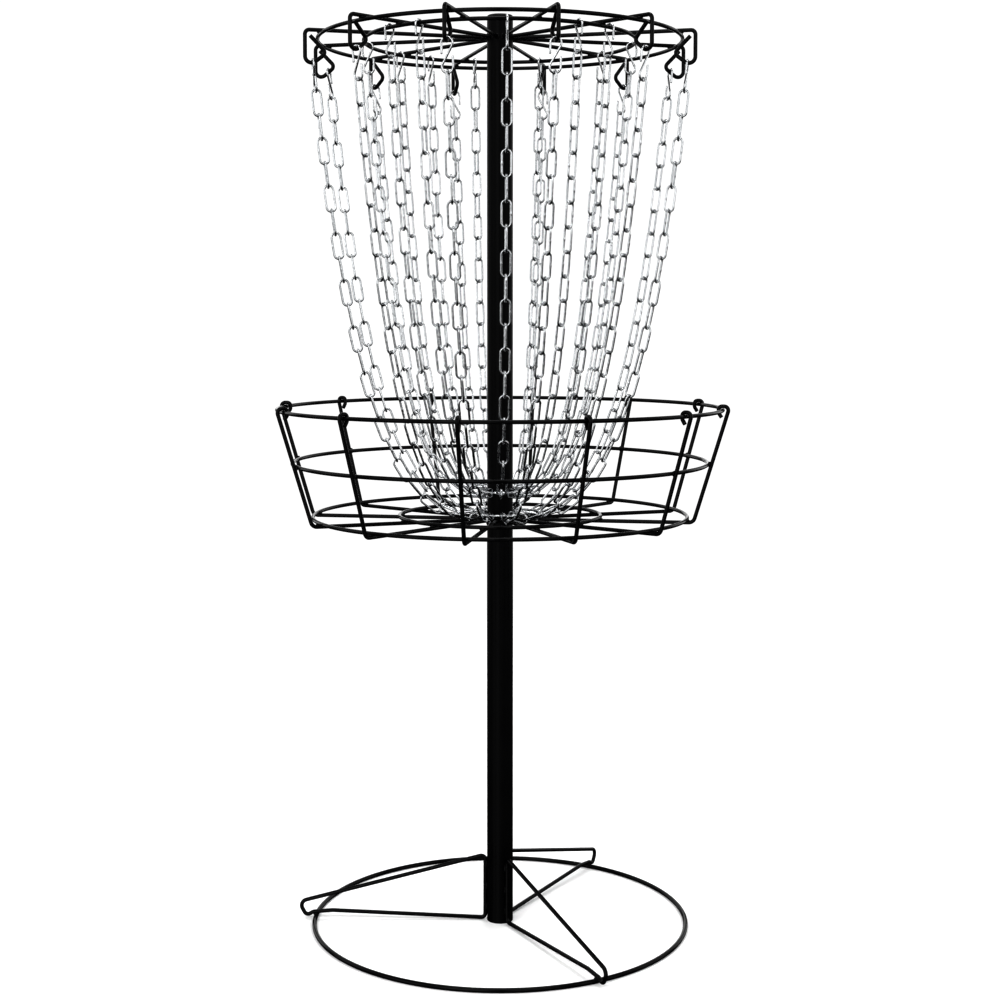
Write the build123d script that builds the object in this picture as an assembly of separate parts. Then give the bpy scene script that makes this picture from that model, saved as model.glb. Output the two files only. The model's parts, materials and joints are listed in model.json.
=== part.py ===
from build123d import *

import math
import os

# Portable disc golf basket: a wire base, a sectional pole, a welded wire cage, and a chain
# support that carries two tiers of twelve chains.
# Origin: on the floor, on the pole's axis. +Z is up and -Y is the front. Millimetres.
# An azimuth of 0 points to the front, and grows towards +X.

STANDING = (Align.CENTER, Align.CENTER, Align.MIN)

# Base
BASE_RING_RADIUS = 274.5
BASE_RING_WIRE = 6.3
LEG_WIRE = 5.6
LEG_COUNT = 3
LEG_FIRST_AZIMUTH = 28.5
LEG_TOP_HEIGHT = 98.0
LEG_DIP_RADIUS = 250.0
LEG_DIP_HEIGHT = 11.5
LEG_RUN_PAST_RING = 4.0
LEG_HEEL_RADIUS = 289.0
LEG_HEEL_HEIGHT = 3.2
LEG_TIP_RADIUS = 300.5
LEG_TIP_HEIGHT = 24.0
LEG_BENDS = [6.0, 40.0, 8.0, 6.0, 9.0, 6.0]
FLOOR_GAP = 0.1

# Pole: four sections, each with a spigot that drops into the one below
LOWER_POLE_DIAMETER = 38.1
POLE_DIAMETER = 37.4
POLE_WALL = 1.6
SPIGOT_LENGTH = 60.0
SPIGOT_CLEARANCE = 0.2
LOWER_POLE_TOP = 568.5
CAGE_TUBE_TOP = 652.0
UPPER_POLE_TOP = 1180.0
SUPPORT_TUBE_TOP = 1326.0
COPING_DEPTH = 3.0
CAP_THICKNESS = 3.0
CAP_EDGE = 2.5
CAP_DEPTH = 16.0

# Cage
CAGE_WIRE = 5.5
RIB_COUNT = 12
RIB_FIRST_AZIMUTH = -9.5
RIB_FLOOR_HEIGHT = 599.5
RIB_OUTER_RADIUS = 282.2
RIB_TOP_RADIUS = 333.0
RIB_TOP_HEIGHT = 767.6
RIB_TAIL_RADIUS = 316.8
RIB_CURL_LOW = [(317.2, 758.0), (321.5, 751.5)]
RIB_BENDS = [9.0, 6.0, 5.0, 6.0]
RIM_RING_RADIUS = 323.5
RIM_RING_HEIGHT = 762.0
MIDDLE_RING_RADIUS = 301.9
MIDDLE_RING_HEIGHT = 684.0
BOTTOM_RING_RADIUS = 273.0
FLOOR_RING_RADIUS = 147.0

# Chain support
ARM_WIRE = 5.5
ARM_COUNT = 12
ARM_FIRST_AZIMUTH = 15.4
ARM_HEIGHT = 1296.5
ARM_REACH = 283.0
HOOK_LOW_CORNER = 1241.5
HOOK_BACK_RADIUS = 252.5
HOOK_BACK_HEIGHT = 1265.0
HOOK_END_RADIUS = 275.8
HOOK_END_HEIGHT = 1288.5
HOOK_BENDS = [6.5, 9.0, 6.0]
CHAIN_LEAN = 15.0
SUPPORT_OUTER_RADIUS = 261.9
SUPPORT_INNER_RADIUS = 196.0

# Chain hardware
CHAIN_WIRE = 3.0
LINK_PITCH = 33.6
LINK_WIDTH = 15.7
PLAY = 0.3
S_HOOK_PITCH = 42.2
S_HOOK_BEND = 7.5
S_HOOK_FREE_LEG = 14.0
COLLECTOR_WIRE = 4.0
COLLECTOR_RADIUS = 26.0
UPPER_COLLECTOR_HEIGHT = 640.0
LOWER_COLLECTOR_HEIGHT = 606.5
OUTER_LINKS = 21
INNER_LINKS = 20
OUTER_FOOT_TURN = -9.9
LOOSE_TWIST = 24.0
# Two S-hooks have stayed up their arm's lower run: millimetres from its low corner.
SLID_UP = {4: 28.0, 9: 28.0}
# Each inner chain hangs in the gap between two arms, where its hook has slid along the ring.
INNER_AZIMUTHS = [2.8, 32.9, 49.9, 100.0, 128.0, 161.6, 191.6, 213.0, 230.6, 261.2, 309.3, 326.1]


def around(azimuth):
    """Turn a shape drawn in the XZ plane to an azimuth."""
    return Rot(0, 0, azimuth - 90)


def at_azimuth(radius, azimuth, height):
    """A point at a radius and an azimuth."""
    turn = math.radians(azimuth)
    return Vector(radius * math.sin(turn), -radius * math.cos(turn), height)


def ring(radius, wire, height):
    """A wire hoop that lies level."""
    return Pos(0, 0, height) * Torus(radius, wire / 2)


def bent_rod(points, bends, wire, close=False):
    """A round rod through (radius, height) points in the XZ plane."""
    corners = [(radius, 0, height) for radius, height in points]
    path = FilletPolyline(*corners, radius=bends, close=close)
    section = Plane(origin=path @ 0.0, z_dir=path % 0.0) * Circle(wire / 2)
    return sweep(section, path=path)


def coped(rod, height):
    """Hollow a rod's inner end to fit round the pole at a height."""
    return rod - Pos(0, 0, height) * Cylinder(POLE_DIAMETER / 2, POLE_DIAMETER)


def pole_section(diameter, bottom, top, spigot_diameter=None):
    """A length of tube, with a spigot below it unless it stands on the floor."""
    outer = Pos(0, 0, bottom) * Cylinder(diameter / 2, top - bottom, align=STANDING)
    bore = Pos(0, 0, bottom) * Cylinder(diameter / 2 - POLE_WALL, top - bottom, align=STANDING)
    if spigot_diameter is None:
        return outer - bore
    low = bottom - SPIGOT_LENGTH
    length = SPIGOT_LENGTH + POLE_WALL
    spigot = Pos(0, 0, low) * Cylinder(spigot_diameter / 2, length, align=STANDING)
    spigot_bore = Pos(0, 0, low) * Cylinder(spigot_diameter / 2 - POLE_WALL, length, align=STANDING)
    return (outer - Pos(0, 0, POLE_WALL) * bore) + spigot - spigot_bore


def spigot_for(diameter):
    """The spigot that fits inside a tube of this diameter."""
    return diameter - 2 * POLE_WALL - 2 * SPIGOT_CLEARANCE


def base_leg(azimuth):
    """A closed wire triangle that stands on edge, welded to the pole and over the base ring."""
    inner = LOWER_POLE_DIAMETER / 2 + LEG_WIRE / 2
    corners = [
        (inner, LEG_WIRE / 2 + FLOOR_GAP),
        (LEG_DIP_RADIUS, LEG_DIP_HEIGHT),
        (BASE_RING_RADIUS + LEG_RUN_PAST_RING, BASE_RING_WIRE + LEG_WIRE / 2 - FLOOR_GAP),
        (LEG_HEEL_RADIUS, LEG_HEEL_HEIGHT),
        (LEG_TIP_RADIUS, LEG_TIP_HEIGHT),
        (inner, LEG_TOP_HEIGHT),
    ]
    return around(azimuth) * bent_rod(corners, LEG_BENDS, LEG_WIRE, close=True)


def cage_rib(azimuth):
    """A rib: out along the floor, up outside the rings, and curled over the rim."""
    corners = [
        (POLE_DIAMETER / 2 - COPING_DEPTH, RIB_FLOOR_HEIGHT),
        (RIB_OUTER_RADIUS, RIB_FLOOR_HEIGHT),
        (RIB_TOP_RADIUS, RIB_TOP_HEIGHT),
        (RIB_TAIL_RADIUS, RIB_TOP_HEIGHT),
        *RIB_CURL_LOW,
    ]
    rod = coped(bent_rod(corners, RIB_BENDS, CAGE_WIRE), RIB_FLOOR_HEIGHT)
    return around(azimuth) * rod


def support_arm(azimuth):
    """An arm: straight out over both rings, then bent into the hook that holds a chain."""
    corners = [
        (POLE_DIAMETER / 2 - COPING_DEPTH, ARM_HEIGHT),
        (ARM_REACH, ARM_HEIGHT),
        (ARM_REACH, HOOK_LOW_CORNER),
        (HOOK_BACK_RADIUS, HOOK_BACK_HEIGHT),
        (HOOK_END_RADIUS, HOOK_END_HEIGHT),
    ]
    rod = coped(bent_rod(corners, HOOK_BENDS, ARM_WIRE), ARM_HEIGHT)
    return around(azimuth) * rod


def chain_link():
    """One long link about the origin, along Z, with its width along X."""
    side = LINK_WIDTH / 2 - CHAIN_WIRE / 2
    straight = LINK_PITCH + PLAY + 2 * CHAIN_WIRE - LINK_WIDTH
    outline = SlotCenterToCenter(straight, 2 * side, rotation=90).face().outer_wire()
    path = Plane.XZ * outline
    section = Plane(origin=path @ 0.0, z_dir=path % 0.0) * Circle(CHAIN_WIRE / 2)
    return sweep(section, path=path)


def s_hook():
    """One S-hook about the origin, along Z, with its width along X."""
    reach = (S_HOOK_PITCH + PLAY + CHAIN_WIRE) / 2
    centre = reach - S_HOOK_BEND
    lean = math.degrees(math.asin(S_HOOK_BEND / centre))
    with BuildLine(Plane.XZ) as path:
        Line((-S_HOOK_BEND, centre - S_HOOK_FREE_LEG), (-S_HOOK_BEND, centre))
        top = CenterArc((0, centre), S_HOOK_BEND, 180, -180 - lean)
        bottom = CenterArc((0, -centre), S_HOOK_BEND, 180 - lean, 180 + lean)
        Line(top @ 1, bottom @ 0)
        Line((S_HOOK_BEND, -centre), (S_HOOK_BEND, S_HOOK_FREE_LEG - centre))
    wire = path.wire()
    section = Plane(origin=wire @ 0.0, z_dir=wire % 0.0) * Circle(CHAIN_WIRE / 2)
    return sweep(section, path=wire)


def bisect(is_low, low, high):
    """The value between low and high where is_low stops being true."""
    for _ in range(60):
        middle = (low + high) / 2
        if is_low(middle):
            low = middle
        else:
            high = middle
    return middle


def hanging_slopes(lengths, span, drop):
    """The slope of each element, from the top down, of a chain that hangs between two points.

    Every element is straight. Its slope is the vertical force at its middle, which is the
    weight below it plus the lift at its foot, over the level pull that all elements share.
    """
    total = sum(lengths)
    below = [sum(lengths[place + 1:]) + length / 2 for place, length in enumerate(lengths)]

    def slopes(pull, lift):
        return [math.atan2(weight + lift, pull) for weight in below]

    def fall(pull, lift):
        return sum(length * math.sin(slope) for length, slope in zip(lengths, slopes(pull, lift)))

    def reach(pull, lift):
        return sum(length * math.cos(slope) for length, slope in zip(lengths, slopes(pull, lift)))

    def lift_for(pull):
        return bisect(lambda lift: fall(pull, lift) < drop, -total, 60 * total)

    pull = bisect(lambda pull: reach(pull, lift_for(pull)) < span, total / 1000, 30 * total)
    return slopes(pull, lift_for(pull))


def chain_line(top, foot_azimuth, foot_height, links):
    """The contact points of an S-hook and its links, from the top down to a collector ring."""
    lengths = [S_HOOK_PITCH] + [LINK_PITCH] * links
    wire = at_azimuth(COLLECTOR_RADIUS, foot_azimuth, foot_height)
    outward = Vector(top.X - wire.X, top.Y - wire.Y, 0).normalized()
    hold = COLLECTOR_WIRE / 2 + PLAY / 2
    slope = math.radians(45)
    for _ in range(6):
        foot = wire - outward * (hold * math.cos(slope)) - Vector(0, 0, hold * math.sin(slope))
        span = Vector(top.X - foot.X, top.Y - foot.Y, 0).length
        slopes = hanging_slopes(lengths, span, top.Z - foot.Z)
        slope = slopes[-1]
    points = [top]
    for length, slope in zip(lengths, slopes):
        step = outward * (-length * math.cos(slope)) - Vector(0, 0, length * math.sin(slope))
        points.append(points[-1] + step)
    return points


def placed(shape, upper, lower, roll):
    """Put a hook or link between two contact points, rolled about the line between them."""
    along = (upper - lower).normalized()
    flat = Vector(upper.X - lower.X, upper.Y - lower.Y, 0).normalized()
    across = Vector(-flat.Y, flat.X, 0)
    width = across.rotate(Axis((0, 0, 0), along), roll)
    spot = Plane(origin=(upper + lower) * 0.5, x_dir=width, z_dir=along)
    return spot.location * shape


def chain_solids(points, hook_roll, wander):
    """An S-hook and the links below it, each a quarter turn on from the one above."""
    solids = [placed(S_HOOK, points[0], points[1], hook_roll)]
    links = len(points) - 2
    for place in range(links):
        along = place / (links - 1)
        roll = hook_roll + 90 * (place + 1) + wander * math.sin(math.pi * along)
        solids.append(placed(LINK, points[place + 1], points[place + 2], roll))
    return solids


def hook_seat(number):
    """The radius and height where an outer chain's S-hook bears on its arm."""
    corner = Vector(ARM_REACH, HOOK_LOW_CORNER)
    run = (Vector(HOOK_BACK_RADIUS, HOOK_BACK_HEIGHT) - corner).normalized()
    gap = ARM_WIRE / 2 + PLAY / 2
    if number in SLID_UP:
        seat = corner + run * SLID_UP[number] + Vector(run.Y, -run.X) * gap
        return seat.X, seat.Y
    bend = HOOK_BENDS[1]
    half_corner = math.radians(Vector(0, 1).get_angle(run) / 2)
    centre = corner + Vector(-bend, bend / math.tan(half_corner))
    lean = math.radians(CHAIN_LEAN)
    seat = centre - Vector(math.sin(lean), math.cos(lean)) * (bend - gap)
    return seat.X, seat.Y


def outer_chain_line(number):
    """An outer chain: from an arm's hook to the lower collector ring."""
    azimuth = ARM_FIRST_AZIMUTH + (number - 1) * 360 / ARM_COUNT
    radius, height = hook_seat(number)
    top = at_azimuth(radius, azimuth, height)
    return chain_line(top, azimuth + OUTER_FOOT_TURN, LOWER_COLLECTOR_HEIGHT, OUTER_LINKS)


def inner_chain_line(number):
    """An inner chain: from the inner support ring to the upper collector ring."""
    ring_top = ARM_HEIGHT - ARM_WIRE / 2 + PLAY / 2
    top = at_azimuth(SUPPORT_INNER_RADIUS, INNER_AZIMUTHS[number - 1], ring_top)
    foot_azimuth = ARM_FIRST_AZIMUTH + (number - 1.5) * 360 / ARM_COUNT
    return chain_line(top, foot_azimuth, UPPER_COLLECTOR_HEIGHT, INNER_LINKS)


def wander_of(number):
    """How far a slack chain has turned at its middle: each chain differs."""
    return LOOSE_TWIST * math.sin(2.4 * number - 1.7)


LINK = chain_link()
S_HOOK = s_hook()
nodes = {}

# Base assembly
nodes["base_ring"] = ring(BASE_RING_RADIUS, BASE_RING_WIRE, BASE_RING_WIRE / 2)
for number in range(LEG_COUNT):
    nodes[f"base_leg_{number + 1}"] = base_leg(LEG_FIRST_AZIMUTH + number * 360 / LEG_COUNT)
nodes["lower_pole"] = pole_section(LOWER_POLE_DIAMETER, 0, LOWER_POLE_TOP)

# Cage
lower_spigot = spigot_for(LOWER_POLE_DIAMETER)
nodes["cage_tube"] = pole_section(POLE_DIAMETER, LOWER_POLE_TOP, CAGE_TUBE_TOP, lower_spigot)
ring_on_floor = RIB_FLOOR_HEIGHT + CAGE_WIRE
nodes["cage_rim_ring"] = ring(RIM_RING_RADIUS, CAGE_WIRE, RIM_RING_HEIGHT)
nodes["cage_middle_ring"] = ring(MIDDLE_RING_RADIUS, CAGE_WIRE, MIDDLE_RING_HEIGHT)
nodes["cage_bottom_ring"] = ring(BOTTOM_RING_RADIUS, CAGE_WIRE, ring_on_floor)
nodes["cage_floor_ring"] = ring(FLOOR_RING_RADIUS, CAGE_WIRE, ring_on_floor)
for number in range(RIB_COUNT):
    azimuth = RIB_FIRST_AZIMUTH + number * 360 / RIB_COUNT
    nodes[f"cage_rib_{number + 1:02d}"] = cage_rib(azimuth)

# Upper pole
spigot = spigot_for(POLE_DIAMETER)
nodes["upper_pole"] = pole_section(POLE_DIAMETER, CAGE_TUBE_TOP, UPPER_POLE_TOP, spigot)

# Chain support
nodes["support_tube"] = pole_section(POLE_DIAMETER, UPPER_POLE_TOP, SUPPORT_TUBE_TOP, spigot)
cap = Pos(0, 0, SUPPORT_TUBE_TOP) * Cylinder(POLE_DIAMETER / 2, CAP_THICKNESS, align=STANDING)
cap = fillet(cap.edges().sort_by(Axis.Z)[-1], CAP_EDGE)
plug_radius = POLE_DIAMETER / 2 - POLE_WALL
cap += Pos(0, 0, SUPPORT_TUBE_TOP - CAP_DEPTH) * Cylinder(plug_radius, CAP_DEPTH, align=STANDING)
nodes["pole_cap"] = cap
ring_under_arms = ARM_HEIGHT - ARM_WIRE
nodes["support_outer_ring"] = ring(SUPPORT_OUTER_RADIUS, ARM_WIRE, ring_under_arms)
nodes["support_inner_ring"] = ring(SUPPORT_INNER_RADIUS, ARM_WIRE, ring_under_arms)
arm_step = 360 / ARM_COUNT
for number in range(ARM_COUNT // 2):
    azimuth = ARM_FIRST_AZIMUTH + number * arm_step
    pair = [support_arm(azimuth), support_arm(azimuth + 180)]
    nodes[f"support_arm_pair_{number + 1}"] = Compound(children=pair)

# Collector rings
nodes["upper_collector_ring"] = ring(COLLECTOR_RADIUS, COLLECTOR_WIRE, UPPER_COLLECTOR_HEIGHT)
nodes["lower_collector_ring"] = ring(COLLECTOR_RADIUS, COLLECTOR_WIRE, LOWER_COLLECTOR_HEIGHT)

# Chains. The last link of each outer chain lies between two ribs, and stays with its ring.
foot_links = []
for number in range(1, ARM_COUNT + 1):
    solids = chain_solids(outer_chain_line(number), 0, wander_of(number))
    foot_links.append(solids.pop())
    nodes[f"outer_chain_{number:02d}"] = Compound(children=solids)
nodes["collector_end_links"] = Compound(children=foot_links)
for number in range(1, ARM_COUNT + 1):
    solids = chain_solids(inner_chain_line(number), 90, wander_of(number + 5))
    nodes[f"inner_chain_{number:02d}"] = Compound(children=solids)

os.makedirs("parts", exist_ok=True)
for name, shape in nodes.items():
    export_step(shape, f"parts/{name}.step")
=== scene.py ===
import json
import math

import bpy
import bmesh
from mathutils import Matrix, Vector, noise


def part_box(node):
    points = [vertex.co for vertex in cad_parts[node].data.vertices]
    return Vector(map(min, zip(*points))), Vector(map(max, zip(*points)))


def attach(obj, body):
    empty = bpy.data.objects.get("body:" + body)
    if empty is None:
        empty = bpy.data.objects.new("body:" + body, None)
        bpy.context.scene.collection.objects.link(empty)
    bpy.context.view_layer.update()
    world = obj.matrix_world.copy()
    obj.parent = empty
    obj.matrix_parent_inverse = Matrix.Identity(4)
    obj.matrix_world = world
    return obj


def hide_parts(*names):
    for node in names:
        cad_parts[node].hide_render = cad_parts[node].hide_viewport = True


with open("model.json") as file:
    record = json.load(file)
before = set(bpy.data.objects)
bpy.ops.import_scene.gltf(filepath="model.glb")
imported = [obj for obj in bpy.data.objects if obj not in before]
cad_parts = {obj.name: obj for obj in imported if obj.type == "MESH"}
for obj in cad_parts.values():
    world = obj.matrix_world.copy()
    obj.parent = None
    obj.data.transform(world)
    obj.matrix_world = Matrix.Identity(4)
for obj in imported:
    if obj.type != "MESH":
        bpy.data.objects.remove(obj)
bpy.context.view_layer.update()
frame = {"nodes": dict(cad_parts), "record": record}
nodes = frame["nodes"]

# Everything is in metres, in the frame of the CAD nodes. The floor is at z = 0, and -Y is the front.
# An azimuth of 0 points to the front, and grows towards +X.

# Camera
CAMERA_DISTANCE = 2.465
CAMERA_HEIGHT = 0.8975
CAMERA_PITCH = 3.5
CAMERA_LENS = 60.8
CAMERA_SHIFT = -0.0814

# Studio. Turns are in radians from the front, and heights are those of a unit direction.
# A pair is the start and the end of a soft edge.
PANELS = 9
PANEL_EDGE = (0.32, 0.52)
LOW_TURN = -0.45
LOW_SIDE_EDGE = (0.9, 0.75)
LOW_HEIGHT_EDGE = (-0.06, -0.18)
STRIP_TURN = -0.45
STRIP_SIDE_EDGE = (0.93, 0.99)
STRIP_HEIGHT_EDGE = (-0.1, 0.05)
STRIP_GLOW = 0.8
WALL_FOOT = -0.55
WALL_TOP = 0.72
WALL_BLUR = 0.08
OPENING_EDGE = (0.93, 0.96)
PANEL_GLOW = 1.45
OPENING_GAIN = 3
GAP_GLOW = 0.004
SOFT_GLOW = 0.9
BACKDROP_GLOW = 1.05
CONTRAST = 0.68
FLOOR_RADIUS = 14
FLOOR_CLEAR = 1.3
FLOOR_GONE = 3.0
# Place, target, size and power
LIGHTS = {
    "key": ((-1.6, -2.2, 2.9), (0, 0, 0.8), (1.6, 1.6), 60),
    "fill": ((2.2, -1.4, 1.8), (0, 0, 0.8), (1.4, 2.0), 30),
    "back": ((0.6, 2.4, 2.4), (0, 0, 0.9), (2.4, 1.2), 40),
}

# Sizes that the frame's nodes share
FRAME_WIRE = 0.0055
CHAIN_WIRE = 0.003
LINK_PITCH = 0.0336
LINK_WIDTH = 0.0157
PLAY = 0.0003
S_HOOK_PITCH = 0.0422
S_HOOK_BEND = 0.0075
S_HOOK_FREE_LEG = 0.014
COLLECTOR_WIRE = 0.004
OUTER_LINKS = 21
INNER_LINKS = 20
STATIONS = 12
STEP = 360 / STATIONS
LEG_COUNT = 3
ARM_FIRST_AZIMUTH = 15.4
RIB_FIRST_AZIMUTH = -9.5
LEG_FIRST_AZIMUTH = 28.5
OUTER_FOOT_TURN = -9.9
LOOSE_TWIST = 24.0
TWIST_STEP = 2.4
TWIST_START = -1.7
ARM_REACH = 0.283
HOOK_LOW_CORNER = 1.2415
HOOK_BACK = (0.2525, 1.265)
HOOK_BEND = 0.009
CHAIN_LEAN = 15
SLID_UP = {4: 0.028, 9: 0.028}
INNER_AZIMUTHS = [2.8, 32.9, 49.9, 100.0, 128.0, 161.6, 191.6, 213.0, 230.6, 261.2, 309.3, 326.1]

# Materials: noise cells to the metre, and how deep a bump looks
NOISE_RANGE = (0.3, 0.7)
BLOTCH_SCALE = 14
PEEL_SCALE = 1100
PEEL_DEPTH = 0.00008
CLOUD_SCALE = 260
ZINC_GRAIN_SCALE = 2600
ZINC_GRAIN_DEPTH = 0.00003
MOULD_GRAIN_SCALE = 1800
MOULD_GRAIN_DEPTH = 0.00006
FLOOR_SCALE = 1.5

# Chain meshes
WIRE_SIDES = 14
LINK_BEND_STEPS = 12
LINK_SIDE_STEPS = 6
WELDED_SIDE_STEPS = 16
HOOK_BEND_STEPS = 16
HOOK_LEG_STEPS = 4
HOOK_SHANK_STEPS = 6
BUTT_WELD_WIDTH = 0.0012
BUTT_WELD_RISE = 0.00028
# How an S-hook's cut end is rounded: the distance from the tip, and the share of the wire's radius there
CUT_END = ((0, 0.72), (0.0004, 0.94), (0.0012, 1))

# Weld beads: half width, depth and height
CROSSING_BEAD = (0.0042, 0.0042, 0.0022)
UPRIGHT_BEAD = (0.0042, 0.0022, 0.0042)
COLLAR_BEAD = (0.0041, 0.0016, 0.0041)
STITCH_BEAD = (0.0036, 0.0022, 0.008)
WELD_RIPPLE = 0.22
RIPPLE_SCALE = 1.7
RIPPLE_SHIFT = 400
LEG_STITCHES = (0.018, 0.05, 0.082)
STITCH_STAND_OFF = 0.0008


# ---------------------------------------------------------------- camera and studio


def make_camera():
    """Between the cage and the rack in height, tilted a little down, and shifted to frame the object."""
    data = bpy.data.cameras.new("camera")
    data.lens = CAMERA_LENS
    data.shift_y = CAMERA_SHIFT
    data.clip_start = 0.05
    data.clip_end = 50
    camera = bpy.data.objects.new("camera", data)
    camera.location = (0, -CAMERA_DISTANCE, CAMERA_HEIGHT)
    camera.rotation_euler = (math.radians(90 - CAMERA_PITCH), 0, 0)
    bpy.context.scene.collection.objects.link(camera)
    bpy.context.scene.camera = camera


def maths(tree, operation, first, second=None):
    """The result of a maths node. Each operand is a number or another node's output."""
    node = tree.nodes.new("ShaderNodeMath")
    node.operation = operation
    for socket, value in zip(node.inputs, (first, second)):
        if isinstance(value, (int, float)):
            socket.default_value = value
        elif value is not None:
            tree.links.new(value, socket)
    return node.outputs[0]


def stepped(tree, value, low, high):
    """0 below low, 1 above high, and smooth between them."""
    node = tree.nodes.new("ShaderNodeMapRange")
    node.interpolation_type = "SMOOTHSTEP"
    node.inputs["From Min"].default_value = low
    node.inputs["From Max"].default_value = high
    tree.links.new(value, node.inputs["Value"])
    return node.outputs["Result"]


def make_world():
    """White to the camera and soft to what is matt. What shines sees a wall of bright panels with dark
    gaps between them, under a dark ceiling with one bright opening. Below eye level the wall is dark
    but for the part at the front left, and a brighter strip stands above that part."""
    world = bpy.data.worlds.new("studio")
    world.use_nodes = True
    tree = world.node_tree
    tree.nodes.clear()
    link = tree.links.new
    place = tree.nodes.new("ShaderNodeTexCoord")
    split = tree.nodes.new("ShaderNodeSeparateXYZ")
    link(place.outputs["Generated"], split.inputs[0])
    height = split.outputs["Z"]
    turn = maths(tree, "ARCTAN2", split.outputs["X"], maths(tree, "MULTIPLY", split.outputs["Y"], -1))
    panels = maths(tree, "ABSOLUTE", maths(tree, "SINE", maths(tree, "MULTIPLY", turn, PANELS / 2)))
    lit_panels = stepped(tree, panels, *PANEL_EDGE)
    aside = maths(tree, "COSINE", maths(tree, "SUBTRACT", turn, LOW_TURN))
    low = stepped(tree, height, *LOW_HEIGHT_EDGE)
    dark_side = maths(tree, "MULTIPLY", stepped(tree, aside, *LOW_SIDE_EDGE), low)
    beside_strip = maths(tree, "COSINE", maths(tree, "SUBTRACT", turn, STRIP_TURN))
    above_low = stepped(tree, height, *STRIP_HEIGHT_EDGE)
    strip = maths(tree, "MULTIPLY", stepped(tree, beside_strip, *STRIP_SIDE_EDGE), above_low)
    below_ceiling = stepped(tree, height, WALL_TOP + WALL_BLUR, WALL_TOP - WALL_BLUR)
    above_ground = stepped(tree, height, WALL_FOOT - WALL_BLUR, WALL_FOOT + WALL_BLUR)
    wall = maths(tree, "MULTIPLY", below_ceiling, above_ground)
    lit = maths(tree, "MULTIPLY", lit_panels, maths(tree, "SUBTRACT", 1, dark_side))
    lit = maths(tree, "ADD", lit, maths(tree, "MULTIPLY", strip, STRIP_GLOW))
    opening = maths(tree, "MULTIPLY", stepped(tree, height, *OPENING_EDGE), OPENING_GAIN)
    seen = maths(tree, "ADD", maths(tree, "MULTIPLY", lit, wall), opening)
    shine = tree.nodes.new("ShaderNodeBackground")
    glow = maths(tree, "ADD", maths(tree, "MULTIPLY", seen, PANEL_GLOW), GAP_GLOW)
    link(glow, shine.inputs["Strength"])
    soft = tree.nodes.new("ShaderNodeBackground")
    soft.inputs["Strength"].default_value = SOFT_GLOW
    white = tree.nodes.new("ShaderNodeBackground")
    white.inputs["Strength"].default_value = BACKDROP_GLOW
    for background in (shine, soft, white):
        background.inputs["Color"].default_value = (1, 1, 1, 1)
    path = tree.nodes.new("ShaderNodeLightPath")
    indirect = tree.nodes.new("ShaderNodeMixShader")
    link(path.outputs["Is Glossy Ray"], indirect.inputs[0])
    link(soft.outputs[0], indirect.inputs[1])
    link(shine.outputs[0], indirect.inputs[2])
    mix = tree.nodes.new("ShaderNodeMixShader")
    link(path.outputs["Is Camera Ray"], mix.inputs[0])
    link(indirect.outputs[0], mix.inputs[1])
    link(white.outputs[0], mix.inputs[2])
    output = tree.nodes.new("ShaderNodeOutputWorld")
    link(mix.outputs[0], output.inputs["Surface"])
    bpy.context.scene.world = world


def make_light(name, location, target, size, power):
    data = bpy.data.lights.new(name, "AREA")
    data.shape = "RECTANGLE"
    data.size, data.size_y = size
    data.energy = power
    light = bpy.data.objects.new(name, data)
    light.location = location
    light.visible_glossy = False
    light.rotation_euler = (Vector(target) - Vector(location)).to_track_quat("-Z", "Y").to_euler()
    bpy.context.scene.collection.objects.link(light)


def make_floor():
    bpy.ops.mesh.primitive_circle_add(vertices=128, radius=FLOOR_RADIUS, fill_type="NGON")
    floor = bpy.context.object
    floor.name = "studio_floor"
    floor.data.materials.append(floor_paint())
    floor.visible_glossy = False


# ---------------------------------------------------------------- materials


def new_material(name, slot_name):
    material = bpy.data.materials.new(name)
    material.use_nodes = True
    material["slot"] = slot_name
    return material, material.node_tree, material.node_tree.nodes["Principled BSDF"]


def noise_node(tree, scale, detail, coordinate):
    node = tree.nodes.new("ShaderNodeTexNoise")
    node.inputs["Scale"].default_value = scale
    node.inputs["Detail"].default_value = detail
    tree.links.new(coordinate, node.inputs["Vector"])
    return node.outputs["Fac"]


def ranged(tree, value, low, high):
    """Spread a noise's usual range over low to high."""
    node = tree.nodes.new("ShaderNodeMapRange")
    node.inputs["From Min"].default_value = NOISE_RANGE[0]
    node.inputs["From Max"].default_value = NOISE_RANGE[1]
    node.inputs["To Min"].default_value = low
    node.inputs["To Max"].default_value = high
    tree.links.new(value, node.inputs["Value"])
    return node.outputs["Result"]


def two_tone(tree, value, dark, light):
    node = tree.nodes.new("ShaderNodeMix")
    node.data_type = "RGBA"
    node.inputs[6].default_value = (*dark, 1)
    node.inputs[7].default_value = (*light, 1)
    tree.links.new(value, node.inputs[0])
    return node.outputs[2]


def bumped(tree, shader, height, distance, strength):
    node = tree.nodes.new("ShaderNodeBump")
    node.inputs["Strength"].default_value = strength
    node.inputs["Distance"].default_value = distance
    tree.links.new(height, node.inputs["Height"])
    tree.links.new(node.outputs["Normal"], shader.inputs["Normal"])


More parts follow.
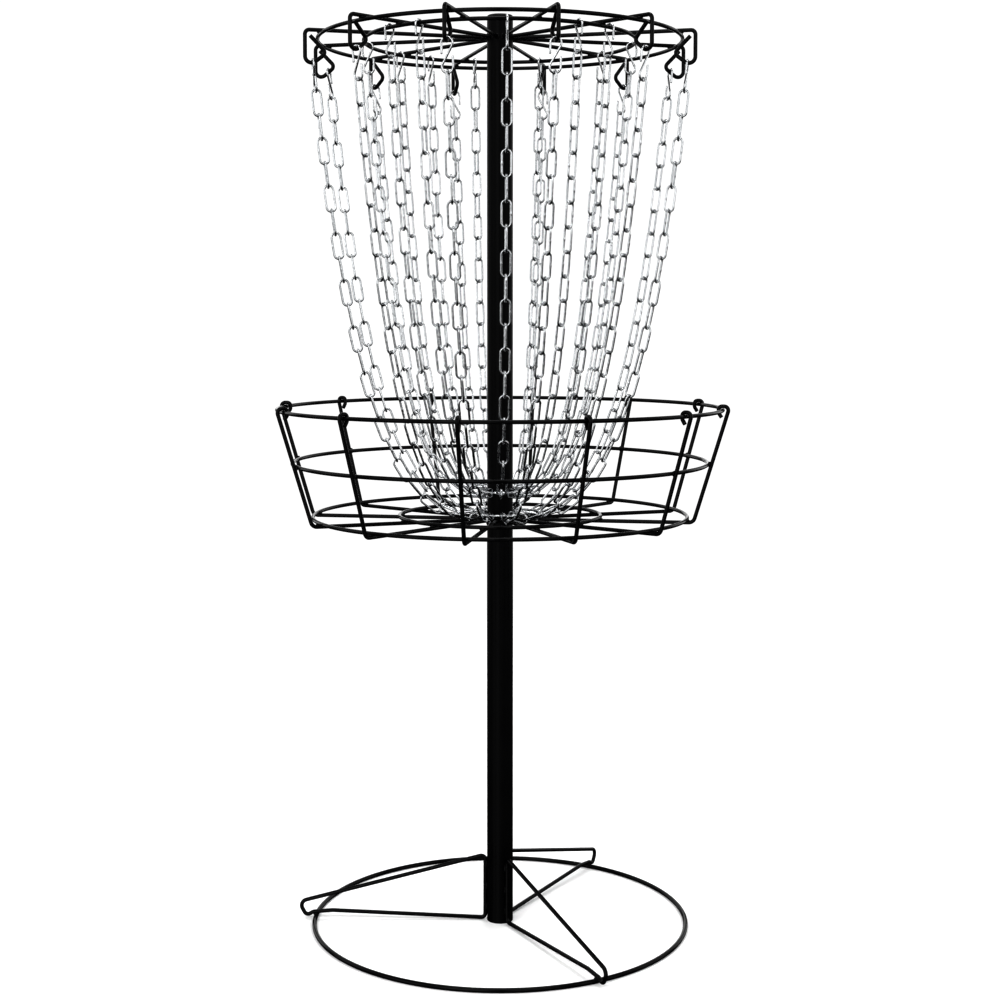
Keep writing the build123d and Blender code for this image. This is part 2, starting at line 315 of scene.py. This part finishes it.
def powder_coat(name, shine, smooth, rough):
    """Satin black powder coat: orange peel about 1 mm across, and a slightly uneven gloss."""
    material, tree, shader = new_material(name, name)
    place = tree.nodes.new("ShaderNodeTexCoord").outputs["Object"]
    broad = noise_node(tree, BLOTCH_SCALE, 3, place)
    peel = noise_node(tree, PEEL_SCALE, 2, place)
    tree.links.new(two_tone(tree, broad, (0.0015, 0.0015, 0.0017), (0.0035, 0.0035, 0.0038)),
                   shader.inputs["Base Color"])
    tree.links.new(ranged(tree, broad, smooth, rough), shader.inputs["Roughness"])
    bumped(tree, shader, peel, PEEL_DEPTH, 0.6)
    shader.inputs["Specular IOR Level"].default_value = shine
    return material


def zinc_plate(name):
    """Bright zinc plate: each link has its own tone, with a fine cloudy brightness."""
    material, tree, shader = new_material(name, name)
    place = tree.nodes.new("ShaderNodeTexCoord").outputs["Object"]
    own = tree.nodes.new("ShaderNodeNewGeometry").outputs["Random Per Island"]
    cloud = noise_node(tree, CLOUD_SCALE, 4, place)
    grain = noise_node(tree, ZINC_GRAIN_SCALE, 2, place)
    tone = maths(tree, "ADD", maths(tree, "MULTIPLY", own, 0.5), ranged(tree, cloud, 0.0, 0.5))
    tree.links.new(two_tone(tree, tone, (0.5, 0.515, 0.53), (0.86, 0.87, 0.88)),
                   shader.inputs["Base Color"])
    tree.links.new(ranged(tree, cloud, 0.1, 0.2), shader.inputs["Roughness"])
    bumped(tree, shader, grain, ZINC_GRAIN_DEPTH, 0.5)
    shader.inputs["Metallic"].default_value = 1.0
    return material


def cap_plastic(name):
    """Moulded black plastic with a fine spark-eroded grain."""
    material, tree, shader = new_material(name, name)
    place = tree.nodes.new("ShaderNodeTexCoord").outputs["Object"]
    grain = noise_node(tree, MOULD_GRAIN_SCALE, 3, place)
    tree.links.new(two_tone(tree, grain, (0.004, 0.004, 0.0045), (0.008, 0.008, 0.0085)),
                   shader.inputs["Base Color"])
    tree.links.new(ranged(tree, grain, 0.48, 0.6), shader.inputs["Roughness"])
    bumped(tree, shader, grain, MOULD_GRAIN_DEPTH, 0.5)
    return material


def floor_paint():
    """A matt white floor that fades out well clear of the object."""
    material, tree, shader = new_material("floor_paint", "")
    place = tree.nodes.new("ShaderNodeTexCoord").outputs["Object"]
    broad = noise_node(tree, FLOOR_SCALE, 2, place)
    tree.links.new(two_tone(tree, broad, (0.9, 0.9, 0.9), (0.92, 0.92, 0.92)),
                   shader.inputs["Base Color"])
    shader.inputs["Roughness"].default_value = 0.9
    shader.inputs["Specular IOR Level"].default_value = 0.1
    far = tree.nodes.new("ShaderNodeVectorMath")
    far.operation = "LENGTH"
    tree.links.new(place, far.inputs[0])
    tree.links.new(stepped(tree, far.outputs["Value"], FLOOR_GONE, FLOOR_CLEAR), shader.inputs["Alpha"])
    return material


# ---------------------------------------------------------------- mesh tools


def at_azimuth(radius, azimuth, height):
    """A point at a radius and an azimuth."""
    turn = math.radians(azimuth)
    return Vector((radius * math.sin(turn), -radius * math.cos(turn), height))


def arc(centre, radius, start, sweep, steps):
    """Points on an arc in the XZ plane, from start through sweep degrees, both ends included."""
    points = []
    for step in range(steps + 1):
        angle = math.radians(start + sweep * step / steps)
        across = radius * math.cos(angle)
        up = radius * math.sin(angle)
        points.append(Vector((centre[0] + across, 0, centre[1] + up)))
    return points


def straight(start, end, steps):
    """Points between two ends, with neither end included."""
    return [start.lerp(end, step / steps) for step in range(1, steps)]


def tube(mesh, path, radii, sides, closed):
    """Skin a path with rings of vertices, and cap the ends of an open one."""
    count = len(path)
    first = (path[1] - path[0]).normalized()
    side = first.orthogonal().normalized()
    rings = []
    for place, point in enumerate(path):
        before = path[place - 1] if closed or place else point
        after = path[(place + 1) % count] if closed or place < count - 1 else point
        along = (after - before).normalized()
        side = (side - along * side.dot(along)).normalized()
        other = along.cross(side)
        ring = []
        for corner in range(sides):
            angle = 2 * math.pi * corner / sides
            offset = side * math.cos(angle) + other * math.sin(angle)
            ring.append(mesh.verts.new(point + offset * radii[place]))
        rings.append(ring)
    spans = count if closed else count - 1
    twist = 0
    if closed:
        start = rings[0][0].co - path[0]
        along = (path[1] - path[-1]).normalized()
        side = (side - along * side.dot(along)).normalized()
        angle = math.atan2(side.cross(start).dot(along), side.dot(start))
        twist = round(-angle / (2 * math.pi) * sides)
    for place in range(spans):
        here, there = rings[place], rings[(place + 1) % count]
        slip = twist if closed and place == spans - 1 else 0
        for corner in range(sides):
            mesh.faces.new((here[corner], here[(corner + 1) % sides],
                            there[(corner + 1 + slip) % sides], there[(corner + slip) % sides]))
    if not closed:
        mesh.faces.new(list(reversed(rings[0])))
        mesh.faces.new(rings[-1])


def finished(mesh, name, material, body, *replaced):
    """Turn a bmesh into a smooth piece that rides on a body."""
    bmesh.ops.recalc_face_normals(mesh, faces=mesh.faces)
    data = bpy.data.meshes.new(name)
    mesh.to_mesh(data)
    mesh.free()
    data.shade_smooth()
    data.materials.append(material)
    piece = bpy.data.objects.new(name, data)
    bpy.context.scene.collection.objects.link(piece)
    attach(piece, body)
    if replaced:
        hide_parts(*replaced)
    return piece


def stamp(mesh, template, matrix):
    """Copy a template mesh into a bmesh through a matrix."""
    before = len(mesh.verts)
    mesh.from_mesh(template)
    mesh.verts.ensure_lookup_table()
    for vertex in mesh.verts[before:]:
        vertex.co = matrix @ vertex.co


def as_template(mesh, name):
    """Turn a bmesh into mesh data to stamp from."""
    bmesh.ops.recalc_face_normals(mesh, faces=mesh.faces)
    data = bpy.data.meshes.new(name)
    mesh.to_mesh(data)
    mesh.free()
    return data


# ---------------------------------------------------------------- chains


def link_template():
    """A long link along Z, its width along X, with the butt weld in the middle of one side."""
    side = LINK_WIDTH / 2 - CHAIN_WIRE / 2
    half = (LINK_PITCH + PLAY + 2 * CHAIN_WIRE - LINK_WIDTH) / 2
    path = arc((0, half), side, 0, 180, LINK_BEND_STEPS)
    path += straight(Vector((-side, 0, half)), Vector((-side, 0, -half)), LINK_SIDE_STEPS)
    path += arc((0, -half), side, 180, 180, LINK_BEND_STEPS)
    path += straight(Vector((side, 0, -half)), Vector((side, 0, half)), WELDED_SIDE_STEPS)
    radii = []
    for point in path:
        weld = math.exp(-(point.z / BUTT_WELD_WIDTH) ** 2) if point.x > 0 else 0
        radii.append(CHAIN_WIRE / 2 + weld * BUTT_WELD_RISE)
    mesh = bmesh.new()
    tube(mesh, path, radii, WIRE_SIDES, True)
    return as_template(mesh, "link")


def s_hook_template():
    """An S-hook along Z, its width along X, with rounded cut ends."""
    centre = (S_HOOK_PITCH + PLAY + CHAIN_WIRE) / 2 - S_HOOK_BEND
    lean = math.degrees(math.asin(S_HOOK_BEND / centre))
    tip = Vector((-S_HOOK_BEND, 0, centre - S_HOOK_FREE_LEG))
    top = arc((0, centre), S_HOOK_BEND, 180, -180 - lean, HOOK_BEND_STEPS)
    bottom = arc((0, -centre), S_HOOK_BEND, 180 - lean, 180 + lean, HOOK_BEND_STEPS)
    upper_end = [tip + Vector((0, 0, distance)) for distance, share in CUT_END]
    lower_end = [-point for point in reversed(upper_end)]
    path = upper_end + straight(upper_end[-1], top[0], HOOK_LEG_STEPS) + top
    path += straight(top[-1], bottom[0], HOOK_SHANK_STEPS) + bottom
    path += straight(bottom[-1], lower_end[0], HOOK_LEG_STEPS) + lower_end
    radii = [CHAIN_WIRE / 2] * len(path)
    for place, (distance, share) in enumerate(CUT_END):
        radii[place] = radii[-1 - place] = CHAIN_WIRE / 2 * share
    mesh = bmesh.new()
    tube(mesh, path, radii, WIRE_SIDES, False)
    return as_template(mesh, "s_hook")


def bisect(is_low, low, high):
    """The value between low and high where is_low stops being true."""
    for _ in range(60):
        middle = (low + high) / 2
        if is_low(middle):
            low = middle
        else:
            high = middle
    return middle


def hanging_slopes(lengths, span, drop):
    """The slope of each straight element, from the top down, of a chain that hangs between two points."""
    total = sum(lengths)
    below = [sum(lengths[place + 1:]) + length / 2 for place, length in enumerate(lengths)]

    def slopes(pull, lift):
        return [math.atan2(weight + lift, pull) for weight in below]

    def fall(pull, lift):
        return sum(length * math.sin(slope) for length, slope in zip(lengths, slopes(pull, lift)))

    def reach(pull, lift):
        return sum(length * math.cos(slope) for length, slope in zip(lengths, slopes(pull, lift)))

    def lift_for(pull):
        return bisect(lambda lift: fall(pull, lift) < drop, -total, 60 * total)

    pull = bisect(lambda pull: reach(pull, lift_for(pull)) < span, total / 1000, 30 * total)
    return slopes(pull, lift_for(pull))


def chain_line(top, foot_azimuth, collector, links):
    """The contact points of an S-hook and its links, from the top down to a collector ring."""
    lengths = [S_HOOK_PITCH] + [LINK_PITCH] * links
    low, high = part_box(collector)
    wire = at_azimuth(high.x - COLLECTOR_WIRE / 2, foot_azimuth, (low.z + high.z) / 2)
    outward = Vector((top.x - wire.x, top.y - wire.y, 0)).normalized()
    hold = COLLECTOR_WIRE / 2 + PLAY / 2
    slope = math.radians(45)
    for _ in range(6):
        foot = wire - outward * (hold * math.cos(slope)) - Vector((0, 0, hold * math.sin(slope)))
        span = Vector((top.x - foot.x, top.y - foot.y)).length
        slopes = hanging_slopes(lengths, span, top.z - foot.z)
        slope = slopes[-1]
    points = [top]
    for length, slope in zip(lengths, slopes):
        step = outward * (-length * math.cos(slope)) - Vector((0, 0, length * math.sin(slope)))
        points.append(points[-1] + step)
    return points


def spot_between(upper, lower, roll):
    """The matrix that puts a hook or link between two contact points, rolled about their line."""
    along = (upper - lower).normalized()
    flat = Vector((upper.x - lower.x, upper.y - lower.y, 0)).normalized()
    across = Vector((-flat.y, flat.x, 0))
    width = Matrix.Rotation(math.radians(roll), 3, along) @ across
    other = along.cross(width)
    turn = Matrix((width, other, along)).transposed()
    return Matrix.Translation((upper + lower) / 2) @ turn.to_4x4()


def chain_spots(points, hook_roll, wander):
    """One matrix for the S-hook and one for each link below it."""
    spots = [spot_between(points[0], points[1], hook_roll)]
    links = len(points) - 2
    for place in range(links):
        along = place / (links - 1)
        roll = hook_roll + 90 * (place + 1) + wander * math.sin(math.pi * along)
        spots.append(spot_between(points[place + 1], points[place + 2], roll))
    return spots


def hook_seat(number):
    """Radius and height where an S-hook bears on its arm: in the low bend, or slid up the lower run."""
    corner = Vector((ARM_REACH, HOOK_LOW_CORNER))
    run = (Vector(HOOK_BACK) - corner).normalized()
    gap = FRAME_WIRE / 2 + PLAY / 2
    if number in SLID_UP:
        return corner + run * SLID_UP[number] + Vector((run.y, -run.x)) * gap
    half_corner = run.angle(Vector((0, 1))) / 2
    centre = corner + Vector((-HOOK_BEND, HOOK_BEND / math.tan(half_corner)))
    lean = math.radians(CHAIN_LEAN)
    return centre - Vector((math.sin(lean), math.cos(lean))) * (HOOK_BEND - gap)


def wander_of(number):
    """How far a slack chain has turned at its middle, in degrees: each chain differs."""
    return LOOSE_TWIST * math.sin(TWIST_STEP * number + TWIST_START)


def make_chain(name, spots, link, hook, material):
    """One chain, which replaces the node of the same name."""
    mesh = bmesh.new()
    stamp(mesh, hook, spots[0])
    for spot in spots[1:]:
        stamp(mesh, link, spot)
    finished(mesh, name + "_zinc", material, name, name)


def make_chains(zinc):
    """Both tiers. The last link of each outer chain stays with its collector ring."""
    link = link_template()
    hook = s_hook_template()
    end_links = bmesh.new()
    for number in range(1, STATIONS + 1):
        name = f"outer_chain_{number:02d}"
        azimuth = ARM_FIRST_AZIMUTH + (number - 1) * STEP
        seat = hook_seat(number)
        top = at_azimuth(seat[0], azimuth, seat[1])
        points = chain_line(top, azimuth + OUTER_FOOT_TURN, "lower_collector_ring", OUTER_LINKS)
        spots = chain_spots(points, 0, wander_of(number))
        stamp(end_links, link, spots.pop())
        make_chain(name, spots, link, hook, zinc)
    finished(end_links, "collector_end_links_zinc", zinc, "chain_support", "collector_end_links")
    low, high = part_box("support_inner_ring")
    ring_radius = high.x - FRAME_WIRE / 2
    for number in range(1, STATIONS + 1):
        name = f"inner_chain_{number:02d}"
        top = at_azimuth(ring_radius, INNER_AZIMUTHS[number - 1], high.z + PLAY / 2)
        foot_azimuth = ARM_FIRST_AZIMUTH + (number - 1.5) * STEP
        points = chain_line(top, foot_azimuth, "upper_collector_ring", INNER_LINKS)
        spots = chain_spots(points, 90, wander_of(number + 5))
        make_chain(name, spots, link, hook, zinc)


# ---------------------------------------------------------------- welds


def weld_bead(mesh, centre, azimuth, sizes):
    """A rippled bead of weld under the coat. The sizes are half its width, depth and height."""
    start = len(mesh.verts)
    bmesh.ops.create_icosphere(mesh, subdivisions=3, radius=1)
    mesh.verts.ensure_lookup_table()
    turn = Matrix.Rotation(math.radians(azimuth), 3, "Z")
    for vertex in mesh.verts[start:]:
        swell = 1 + WELD_RIPPLE * noise.noise(vertex.co * RIPPLE_SCALE + centre * RIPPLE_SHIFT)
        offset = Vector([value * size * swell for value, size in zip(vertex.co, sizes)])
        vertex.co = centre + turn @ offset


def ring_spot(ring, side):
    """Radius of a level ring's wire, and the height of its upper (1) or lower (-1) side."""
    low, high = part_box(ring)
    wire = (high.z - low.z) / 2
    return high.x - wire, (low.z + high.z) / 2 + side * wire


def make_welds(coat):
    """Beads at the ends of the arms and ribs, at their crossings with the rings, and along the legs."""
    rack = bmesh.new()
    cage = bmesh.new()
    base = bmesh.new()
    rack_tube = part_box("support_tube")[1].x
    cage_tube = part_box("cage_tube")[1].x
    arm_height = ring_spot("support_inner_ring", 1)[1] + FRAME_WIRE / 2
    rib_height = ring_spot("cage_floor_ring", -1)[1] - FRAME_WIRE / 2
    for number in range(STATIONS):
        arm_azimuth = ARM_FIRST_AZIMUTH + number * STEP
        weld_bead(rack, at_azimuth(rack_tube, arm_azimuth, arm_height), arm_azimuth, COLLAR_BEAD)
        for ring in ("support_outer_ring", "support_inner_ring"):
            radius, height = ring_spot(ring, 1)
            weld_bead(rack, at_azimuth(radius, arm_azimuth, height), arm_azimuth, CROSSING_BEAD)
        rib_azimuth = RIB_FIRST_AZIMUTH + number * STEP
        weld_bead(cage, at_azimuth(cage_tube, rib_azimuth, rib_height), rib_azimuth, COLLAR_BEAD)
        for ring in ("cage_floor_ring", "cage_bottom_ring"):
            radius, height = ring_spot(ring, -1)
            weld_bead(cage, at_azimuth(radius, rib_azimuth, height), rib_azimuth, CROSSING_BEAD)
        radius, height = ring_spot("cage_middle_ring", 0)
        spot = at_azimuth(radius + FRAME_WIRE / 2, rib_azimuth, height)
        weld_bead(cage, spot, rib_azimuth, UPRIGHT_BEAD)
    foot = ring_spot("base_ring", 0)
    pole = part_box("lower_pole")[1].x
    for number in range(LEG_COUNT):
        leg_azimuth = LEG_FIRST_AZIMUTH + number * 360 / LEG_COUNT
        crossing = at_azimuth(foot[0], leg_azimuth, foot[1] + FRAME_WIRE / 2)
        weld_bead(base, crossing, leg_azimuth, CROSSING_BEAD)
        for height in LEG_STITCHES:
            spot = at_azimuth(pole + STITCH_STAND_OFF, leg_azimuth, height)
            weld_bead(base, spot, leg_azimuth, STITCH_BEAD)
    finished(rack, "rack_welds", coat, "chain_support")
    finished(cage, "cage_welds", coat, "cage")
    finished(base, "base_welds", coat, "base")


make_camera()
make_world()
make_floor()
for light_name, setting in LIGHTS.items():
    make_light(light_name, *setting)
bpy.context.scene.view_settings.view_transform = "Standard"
bpy.context.scene.view_settings.gamma = CONTRAST

finishes = {
    "black_coated_wire": powder_coat("black_coated_wire", 0.2, 0.12, 0.18),
    "black_coated_tube": powder_coat("black_coated_tube", 0.08, 0.24, 0.34),
    "zinc_chain": zinc_plate("zinc_chain"),
    "black_plastic": cap_plastic("black_plastic"),
}
slots = {part["node"]: part["material_slot"] for part in frame["record"]["subparts"]}
for name, node in nodes.items():
    node.data.materials.clear()
    node.data.materials.append(finishes[slots[name]])

make_chains(finishes["zinc_chain"])
make_welds(finishes["black_coated_wire"])
